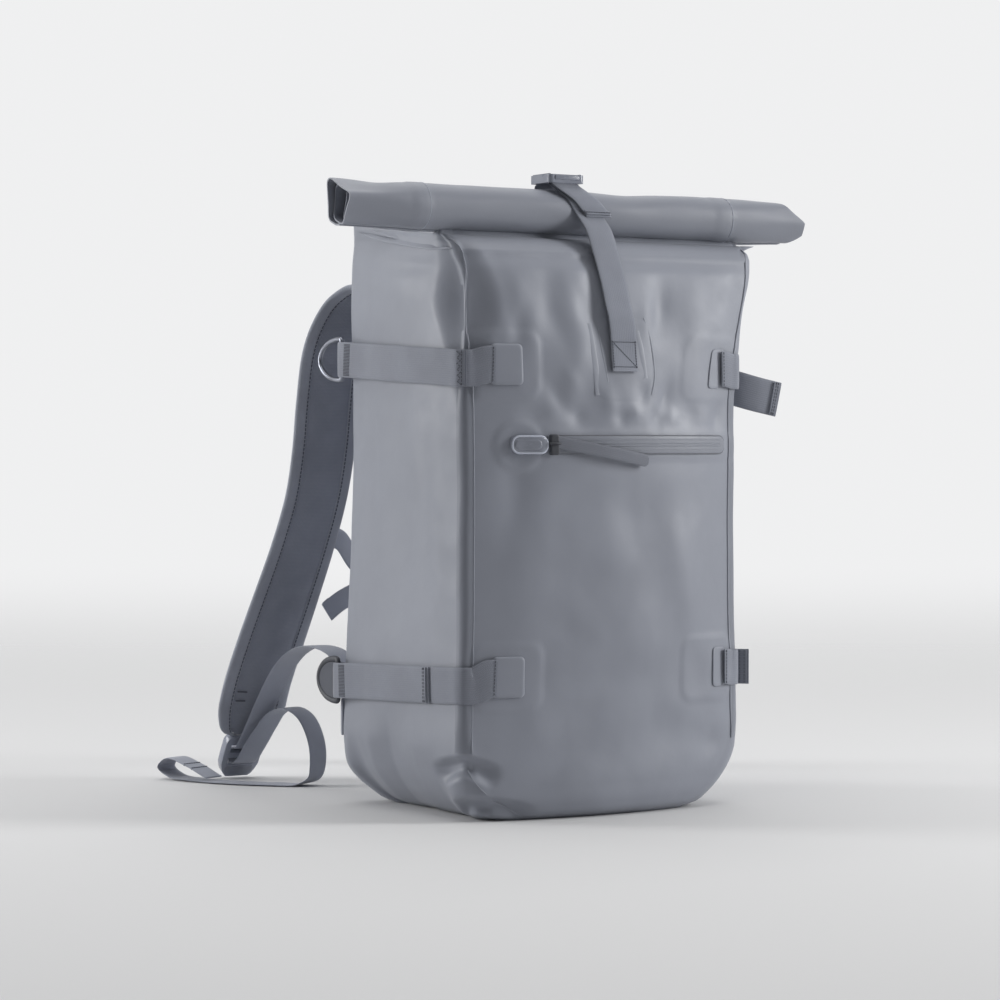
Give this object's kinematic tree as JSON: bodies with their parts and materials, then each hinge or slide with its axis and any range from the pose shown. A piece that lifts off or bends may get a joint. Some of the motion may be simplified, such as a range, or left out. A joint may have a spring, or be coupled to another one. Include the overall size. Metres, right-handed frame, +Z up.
{
  "type": "roll-top backpack",
  "caption": "Waterproof roll-top backpack of coated fabric, standing upright, with webbing compression straps, a sealed front zip and padded shoulder straps.",
  "frame": {"origin": "middle of the flat base on the floor", "axes": "+Z up; -Y towards the front with the zip; +Y towards the wearer; -X is the side seen in the picture"},
  "size_m": [0.494, 0.5024, 0.5689],
  "materials": {
    "coated_fabric": "matte coated cloth with a soft sheen",
    "seam_tape": "smooth welded tape",
    "webbing": "ribbed woven webbing",
    "padded_fabric": "matte woven cloth over foam",
    "zip_tape": "coated zip tape",
    "moulded_plastic": "satin moulded",
    "ring_metal": "dull plated wire"
  },
  "bodies": {
    "root": {"body_shell": "coated_fabric", "roll_top": "coated_fabric", "back_panel": "padded_fabric", "anchor_pad_upper_left": "coated_fabric", "compression_strap_upper_left": "webbing", "ring_upper_left": "ring_metal", "anchor_pad_lower_left": "coated_fabric", "compression_strap_lower_left": "webbing", "ring_lower_left": "moulded_plastic", "anchor_pad_upper_right": "coated_fabric", "compression_strap_upper_right": "webbing", "ring_upper_right": "ring_metal", "anchor_pad_lower_right": "coated_fabric", "compression_strap_lower_right": "webbing", "ring_lower_right": "moulded_plastic", "closure_patch": "coated_fabric", "closure_strap": "webbing", "closure_buckle": "moulded_plastic", "closure_strap_back": "webbing", "zip_band": "zip_tape", "zip_garage": "moulded_plastic", "zip_slider": "ring_metal", "zip_pull": "webbing", "seam_tape_left": "seam_tape", "shoulder_strap_left": "padded_fabric", "ladder_lock_left": "moulded_plastic", "adjuster_left": "webbing", "strap_tab_left": "coated_fabric", "seam_tape_right": "seam_tape", "shoulder_strap_right": "padded_fabric", "ladder_lock_right": "moulded_plastic", "adjuster_right": "webbing", "strap_tab_right": "coated_fabric", "sternum_strap": "webbing", "sternum_buckle": "moulded_plastic", "sternum_tail": "webbing"}
  },
  "joints": []
}
